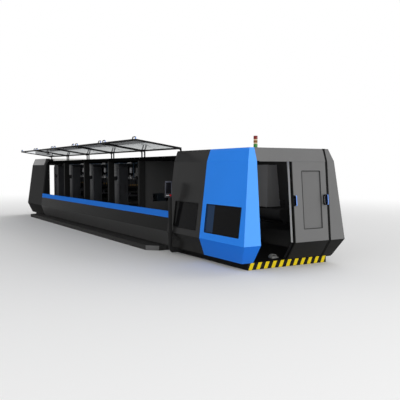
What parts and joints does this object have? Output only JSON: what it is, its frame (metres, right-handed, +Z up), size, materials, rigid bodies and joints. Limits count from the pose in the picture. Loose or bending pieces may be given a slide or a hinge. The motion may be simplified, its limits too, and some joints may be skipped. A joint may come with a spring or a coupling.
{
  "type": "enclosed rolling mill line",
  "caption": "Enclosed rolling mill line with rolling stands on a long bed, a row of lift-up side guards, a faceted head housing with sliding doors and a matching tail housing",
  "frame": {"origin": "on the floor under the bed, at mid length of the line and on its centre line", "axes": "+X along the line towards the head housing, +Y to the far side, +Z up"},
  "size_m": [16.46, 3.6167, 2.7258],
  "materials": {
    "blue_paint": "semi-gloss",
    "charcoal_paint": "semi-gloss",
    "grey_paint": "satin",
    "dark_paint": "satin",
    "black_paint": "satin",
    "rail_blue": "satin",
    "light_paint": "satin",
    "stand_paint": "satin",
    "roll_steel": "ground",
    "black_seal": "matt",
    "dark_glass": "smooth",
    "clear_glass": "smooth",
    "lamp_plastic": "smooth"
  },
  "bodies": {
    "line": {"head_plinth": "dark_paint", "head_corner_near": "blue_paint", "head_side_near": "charcoal_paint", "head_corner_far": "grey_paint", "head_side_far": "charcoal_paint", "head_roof": "grey_paint", "door_frame": "black_seal", "head_glass": "dark_glass", "head_cabinet": "light_paint", "inner_trough": "light_paint", "tail_plinth": "dark_paint", "tail_side_near": "charcoal_paint", "tail_side_far": "charcoal_paint", "tail_roof": "grey_paint", "skirts": "charcoal_paint", "rails": "rail_blue", "top_beams": "black_paint", "mid_roof": "dark_paint", "far_panels": "black_paint", "steps": "dark_paint", "bed": "dark_paint", "uprights": "dark_paint", "partition": "charcoal_paint", "stand_1": "stand_paint", "stand_2": "stand_paint", "stand_3": "stand_paint", "stand_4": "stand_paint", "rolls": "roll_steel", "screwdowns": "roll_steel", "drives": "stand_paint", "tower_light": "lamp_plastic", "pendant_post": "light_paint", "pendant_panel": "light_paint"},
    "inner_leaf": {"leaf_inner": "grey_paint"},
    "outer_leaf": {"leaf_outer": "grey_paint", "leaf_glass": "dark_glass"},
    "guard_row_1": {"guard_1": "black_paint", "pane_1": "clear_glass"},
    "guard_row_2": {"guard_2": "black_paint", "pane_2": "clear_glass"},
    "guard_row_3": {"guard_3": "black_paint", "pane_3": "clear_glass"},
    "guard_row_4": {"guard_4": "black_paint", "pane_4": "clear_glass"},
    "guard_row_5": {"guard_5": "black_paint", "pane_5": "clear_glass"}
  },
  "joints": [
    {"name": "inner_leaf_slide", "type": "slide", "parent": "line", "child": "inner_leaf", "axis": [0, -1, 0], "range_m": [0, 0.805]},
    {"name": "outer_leaf_slide", "type": "slide", "parent": "line", "child": "outer_leaf", "axis": [0, -1, 0], "range_m": [0, 0.805]},
    {"name": "guard_1_lift", "type": "hinge", "parent": "line", "child": "guard_row_1", "pos_m": [3.97, -0.84531, 2.25058], "axis": [1, 0, 0], "range_deg": [0, 91.67]},
    {"name": "guard_2_lift", "type": "hinge", "parent": "line", "child": "guard_row_2", "pos_m": [1.75, -0.84531, 2.25058], "axis": [1, 0, 0], "range_deg": [0, 91.67]},
    {"name": "guard_3_lift", "type": "hinge", "parent": "line", "child": "guard_row_3", "pos_m": [-0.47, -0.84531, 2.25058], "axis": [1, 0, 0], "range_deg": [0, 91.67]},
    {"name": "guard_4_lift", "type": "hinge", "parent": "line", "child": "guard_row_4", "pos_m": [-2.69, -0.84531, 2.25058], "axis": [1, 0, 0], "range_deg": [0, 91.67]},
    {"name": "guard_5_lift", "type": "hinge", "parent": "line", "child": "guard_row_5", "pos_m": [-4.91, -0.84531, 2.25058], "axis": [1, 0, 0], "range_deg": [0, 91.67]}
  ]
}
